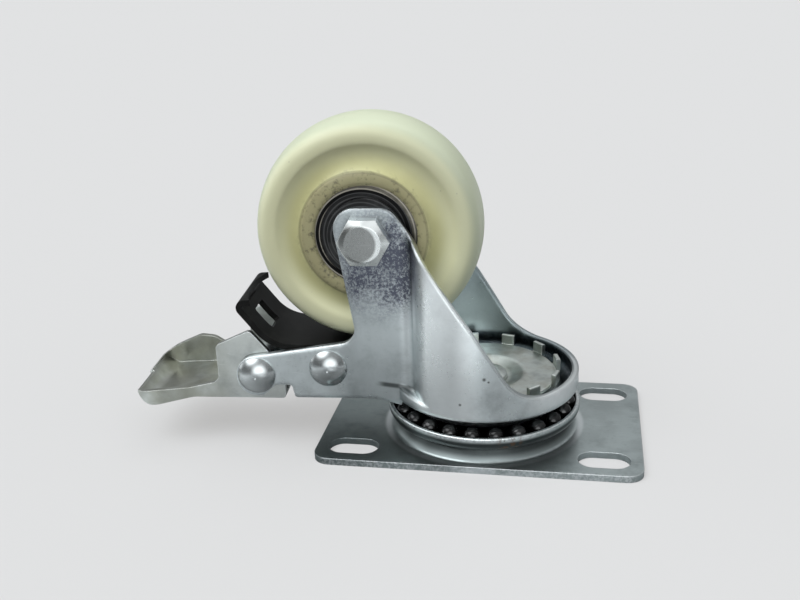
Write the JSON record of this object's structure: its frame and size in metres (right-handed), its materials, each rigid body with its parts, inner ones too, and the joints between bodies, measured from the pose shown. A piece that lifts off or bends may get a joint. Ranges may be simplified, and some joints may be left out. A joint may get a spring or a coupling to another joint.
{
  "type": "swivel castor",
  "caption": "Zinc-plated swivel castor with top plate, pressed fork, ball-bearing wheel and brake pedal that also locks the swivel",
  "frame": {"origin": "centre of the four slots on the mounting face of the plate, on the swivel axis", "axes": "+Z along the swivel axis from the mounting face towards the wheel, +X along the long side of the plate; at rest the wheel trails towards -X, turned 4.4 degrees about +Z"},
  "size_m": [0.1533, 0.06, 0.0979],
  "materials": {
    "zinc_plate": "blue zinc plated sheet, satin",
    "zinc_bright": "bright zinc plated fastener",
    "greased_steel": "steel under dark grease",
    "bearing_steel": "dark ground steel",
    "black_steel": "black oxide spring steel",
    "wheel_plastic": "moulded polyurethane, olive cream, satin"
  },
  "bodies": {
    "plate": {"mounting_plate": "zinc_plate", "race_cup": "zinc_plate", "king_bush": "greased_steel", "lock_ring": "zinc_plate", "king_rivet": "zinc_plate"},
    "outer_balls": {"swivel_balls_outer": "greased_steel"},
    "inner_balls": {"swivel_balls_inner": "greased_steel"},
    "fork": {"fork": "zinc_plate", "axle_bolt": "zinc_bright", "axle_nut": "zinc_bright", "axle_sleeve": "zinc_plate", "axle_washers": "black_steel", "bearing_inner_rings": "bearing_steel", "brake_rivets": "zinc_bright", "pivot_bushes": "zinc_plate"},
    "bearing_ball_sets": {"bearing_balls": "bearing_steel", "bearing_cages": "bearing_steel"},
    "wheel": {"wheel": "wheel_plastic", "bearing_outer_rings": "bearing_steel", "bearing_shields": "bearing_steel"},
    "pedal": {"pedal": "zinc_plate"},
    "brake_leaf": {"brake_leaf": "black_steel"}
  },
  "joints": [
    {"name": "swivel", "type": "hinge", "parent": "plate", "child": "fork", "pos_m": [0, 0, 0.012], "axis": [0, 0, 1], "continuous": true},
    {"name": "outer_ball_orbit", "type": "hinge", "parent": "plate", "child": "outer_balls", "pos_m": [0, 0, 0.0105], "axis": [0, 0, 1], "continuous": true},
    {"name": "inner_ball_orbit", "type": "hinge", "parent": "plate", "child": "inner_balls", "pos_m": [0, 0, 0.015], "axis": [0, 0, 1], "continuous": true},
    {"name": "wheel_spin", "type": "hinge", "parent": "fork", "child": "wheel", "pos_m": [-0.03231, -0.00249, 0.065], "axis": [-0.0767, 0.9971, 0], "continuous": true},
    {"name": "bearing_ball_orbit", "type": "hinge", "parent": "fork", "child": "bearing_ball_sets", "pos_m": [-0.03231, -0.00249, 0.065], "axis": [-0.0767, 0.9971, 0], "continuous": true},
    {"name": "pedal_hinge", "type": "hinge", "parent": "fork", "child": "pedal", "pos_m": [-0.0664, -0.00511, 0.023], "axis": [-0.0767, 0.9971, 0], "range_deg": [0, 36]},
    {"name": "leaf_hinge", "type": "hinge", "parent": "fork", "child": "brake_leaf", "pos_m": [-0.04487, -0.00345, 0.0255], "axis": [-0.0767, 0.9971, 0], "range_deg": [0, 17.2]}
  ],
  "couplings": [
    {"joint": "outer_ball_orbit", "follows": "swivel", "ratio": 0.465},
    {"joint": "inner_ball_orbit", "follows": "swivel", "ratio": 0.5},
    {"joint": "bearing_ball_orbit", "follows": "wheel_spin", "ratio": 0.615},
    {"joint": "leaf_hinge", "follows": "pedal_hinge", "ratio": 0.475}
  ]
}
